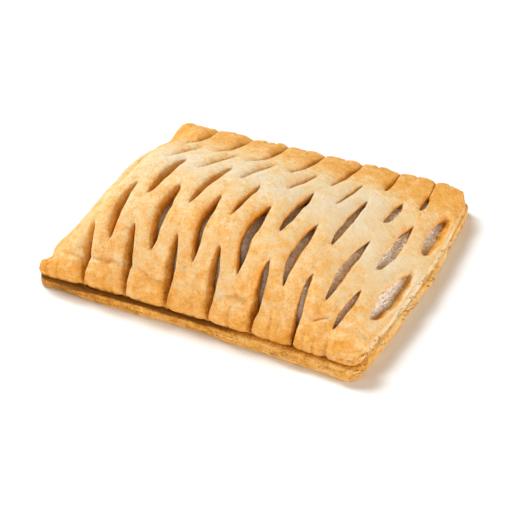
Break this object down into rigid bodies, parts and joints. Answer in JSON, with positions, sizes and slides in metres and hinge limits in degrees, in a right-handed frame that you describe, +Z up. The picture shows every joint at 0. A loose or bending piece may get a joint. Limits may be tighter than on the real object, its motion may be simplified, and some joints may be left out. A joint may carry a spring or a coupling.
{
  "type": "lattice sausage roll",
  "caption": "Rectangular baked puff-pastry slice with a lattice of staggered slits over a domed meat filling, on a flat pastry base.",
  "frame": {"origin": "under the middle of the pastry, on the plane that it rests on", "axes": "+X along the pastry's longer side, across its slits; +Y along the slits, from the steep front to the gently sloping back; +Z up"},
  "size_m": [0.1232, 0.1068, 0.0352],
  "materials": {
    "base_crust": "dry, flaky baked puff pastry, darker golden brown",
    "cooked_meat": "moist, fine-grained cooked sausage meat, grey-brown",
    "golden_crust": "dry baked puff pastry with a faint egg-wash sheen, pale gold to golden brown"
  },
  "bodies": {
    "root": {"base_sheet": "base_crust", "filling": "cooked_meat", "lattice_top": "golden_crust"}
  },
  "joints": []
}
